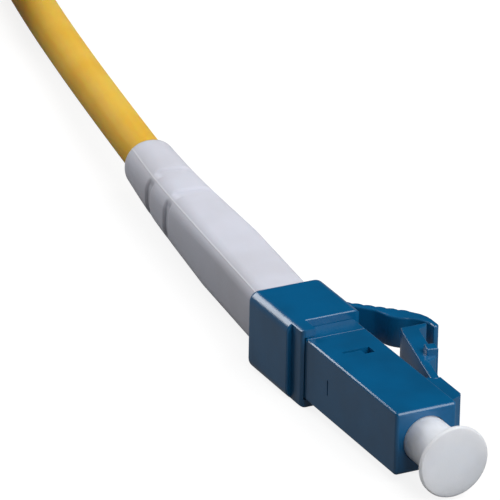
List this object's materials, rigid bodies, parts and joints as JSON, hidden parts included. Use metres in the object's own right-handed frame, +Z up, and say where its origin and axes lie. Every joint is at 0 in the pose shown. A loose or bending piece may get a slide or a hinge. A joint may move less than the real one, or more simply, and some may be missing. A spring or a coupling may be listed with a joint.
{
  "type": "lc fibre connector",
  "caption": "Square-bodied fibre-optic plug with a ceramic ferrule under a dust cap, a cantilever latch pressed by a rear trigger, a ribbed strain-relief boot and a round cable",
  "frame": {"origin": "middle of the rear clip's flat side, which rests on the floor", "axes": "the plug lies on its side: +Y runs from the ferrule end to the cable, +X to the latch and trigger, +Z up"},
  "size_m": [0.0305, 0.1399, 0.0158],
  "materials": {
    "body_plastic": "satin",
    "ceramic": "polished",
    "plated_metal": "satin",
    "clear_tube": "satin",
    "spring_steel": "satin",
    "fibre_glass": "polished",
    "buffer": "satin",
    "yarn": "matte",
    "crimp_metal": "satin",
    "boot_rubber": "matte",
    "cap_plastic": "satin",
    "jacket": "satin",
    "tie_plastic": "satin"
  },
  "bodies": {
    "connector": {"front_housing": "body_plastic", "inner_body": "body_plastic", "rear_clip": "body_plastic", "ferrule_spring": "spring_steel", "aramid_yarn": "yarn", "crimp_sleeve": "crimp_metal", "boot": "boot_rubber", "cable": "jacket", "cable_coil": "jacket", "coil_tie": "tie_plastic"},
    "latch": {"latch_arm": "body_plastic"},
    "trigger": {"trigger_arm": "body_plastic"},
    "ferrule_group": {"ferrule": "ceramic", "ferrule_flange": "plated_metal", "guide_tube": "clear_tube", "fibre": "fibre_glass", "fibre_buffer": "buffer"},
    "cap": {"dust_cap": "cap_plastic"}
  },
  "joints": [
    {"name": "trigger_press", "type": "hinge", "parent": "connector", "child": "trigger", "pos_m": [0.00304, 0.00232, 0.00282], "axis": [0, 0, -1], "range_deg": [0, 18.01]},
    {"name": "latch_press", "type": "hinge", "parent": "connector", "child": "latch", "pos_m": [0.00337, -0.01196, 0.00282], "axis": [0, 0, 1], "range_deg": [0, 13.5], "stiffness_Nm_per_rad": 0.05},
    {"name": "ferrule_float", "type": "slide", "parent": "connector", "child": "ferrule_group", "axis": [0, 1, 0], "range_m": [0, 0.001], "stiffness_N_per_m": 2500, "springref_m": -0.0004, "deforming": ["ferrule_spring"]},
    {"name": "cap_pull", "type": "slide", "parent": "ferrule_group", "child": "cap", "axis": [0, -1, 0], "range_m": [0, 0.008]}
  ],
  "couplings": [
    {"joint": "trigger_press", "follows": "latch_press", "ratio": 1.3333}
  ]
}
